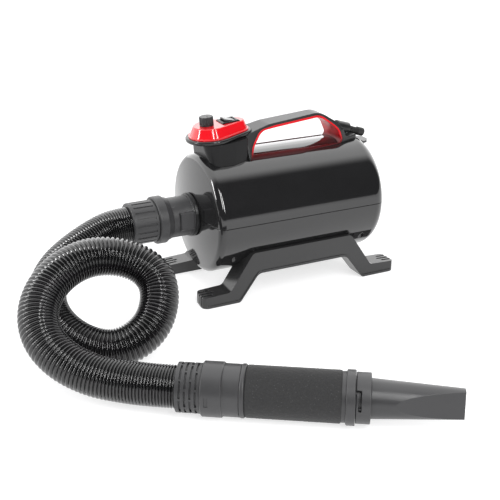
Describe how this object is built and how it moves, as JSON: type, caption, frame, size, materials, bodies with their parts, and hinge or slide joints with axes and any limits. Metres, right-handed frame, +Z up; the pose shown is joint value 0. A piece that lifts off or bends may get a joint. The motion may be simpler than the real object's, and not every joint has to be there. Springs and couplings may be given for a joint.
{
  "type": "pet dryer",
  "caption": "Floor-standing forced-air pet dryer with a drum housing, top carry handle, dial and rocker, coiled air hose, foam-gripped wand and flat nozzle.",
  "frame": {"origin": "on the floor, at the middle of the ground that the dryer and its wand cover; the drum housing stands at x 0.076, y 0.209", "axes": "+X from the air outlet towards the rear filter along the drum, +Y towards the far leg, +Z up"},
  "size_m": [0.6087, 0.5946, 0.2605],
  "materials": {
    "gloss_black_shell": "glossy",
    "satin_black_plastic": "satin",
    "gloss_red_plastic": "glossy",
    "rocker_plastic": "glossy",
    "dark_grey_plastic": "matte",
    "hose_plastic": "glossy",
    "foam": "matte foam",
    "filter_foam": "open-cell foam",
    "rubber": "matte",
    "steel": "zinc plated",
    "copper": "enamelled wire",
    "aluminium": "cast",
    "duct_plastic": "matte",
    "carbon": "matte carbon",
    "circuit_board": "matte"
  },
  "bodies": {
    "housing": {"brush_holders": "duct_plastic", "carbon_brushes": "carbon", "control_board": "circuit_board", "control_panel": "gloss_red_plastic", "control_pod": "gloss_black_shell", "coupling_collar": "dark_grey_plastic", "coupling_seal": "rubber", "fan_casing": "aluminium", "field_coils": "copper", "filter_frame": "satin_black_plastic", "foot_pads": "rubber", "front_bearing": "steel", "front_bracket": "aluminium", "front_mount": "rubber", "handle_screws": "steel", "handle_shell": "satin_black_plastic", "handle_trim": "gloss_red_plastic", "hose": "hose_plastic", "hose_cuff": "dark_grey_plastic", "left_leg": "satin_black_plastic", "leg_screws": "steel", "lower_shell": "gloss_black_shell", "outlet_duct": "duct_plastic", "outlet_port": "dark_grey_plastic", "pod_rim": "satin_black_plastic", "potentiometer": "dark_grey_plastic", "rear_bearing": "steel", "rear_bracket": "aluminium", "rear_mount": "rubber", "right_leg": "satin_black_plastic", "shell_screws": "steel", "stator_core": "steel", "strain_relief": "rubber", "switch_housing": "satin_black_plastic", "upper_shell": "gloss_black_shell", "wand_cuff": "dark_grey_plastic"},
    "motor_rotor": {"motor_shaft": "steel", "armature": "steel", "commutator": "copper", "impeller": "aluminium", "shaft_nut": "steel"},
    "speed_dial": {"speed_knob": "satin_black_plastic", "pot_shaft": "steel"},
    "switch_rocker": {"rocker": "rocker_plastic"},
    "hose_lock_ring": {"coupling_ring": "dark_grey_plastic"},
    "filter_cover": {"rear_cover": "gloss_black_shell", "filter_foam": "filter_foam"},
    "wand_grip": {"wand_collar": "dark_grey_plastic", "wand_neck": "dark_grey_plastic", "wand_bead": "dark_grey_plastic", "grip_tube": "dark_grey_plastic", "foam_sleeve": "foam", "grip_end_ring": "dark_grey_plastic", "bayonet_collar": "dark_grey_plastic", "nozzle_seal": "rubber"},
    "wand_nozzle": {"twist_ring": "dark_grey_plastic", "nozzle": "dark_grey_plastic"}
  },
  "joints": [
    {"name": "rotor_spin", "type": "hinge", "parent": "housing", "child": "motor_rotor", "pos_m": [0.076, 0.209, 0.116], "axis": [1, 0, 0], "continuous": true},
    {"name": "speed_turn", "type": "hinge", "parent": "housing", "child": "speed_dial", "pos_m": [-0.03963, 0.209, 0.24654], "axis": [-0.0785, 0, 0.9969], "range_deg": [-150, 120]},
    {"name": "switch_tilt", "type": "hinge", "parent": "housing", "child": "switch_rocker", "pos_m": [-0.00616, 0.209, 0.24817], "axis": [0, -1, 0], "range_deg": [0, 14]},
    {"name": "hose_lock_turn", "type": "hinge", "parent": "housing", "child": "hose_lock_ring", "pos_m": [-0.116, 0.209, 0.116], "axis": [1, 0, 0], "range_deg": [0, 35]},
    {"name": "filter_cover_pull", "type": "slide", "parent": "housing", "child": "filter_cover", "axis": [1, 0, 0], "range_m": [0, 0.04]},
    {"name": "wand_swivel", "type": "hinge", "parent": "housing", "child": "wand_grip", "pos_m": [-0.222, -0.111, 0.033], "axis": [0.8387, -0.5446, 0], "continuous": true},
    {"name": "nozzle_twist", "type": "hinge", "parent": "wand_grip", "child": "wand_nozzle", "pos_m": [-0.04923, -0.2232, 0.033], "axis": [0.8387, -0.5446, 0], "range_deg": [0, 40]}
  ]
}
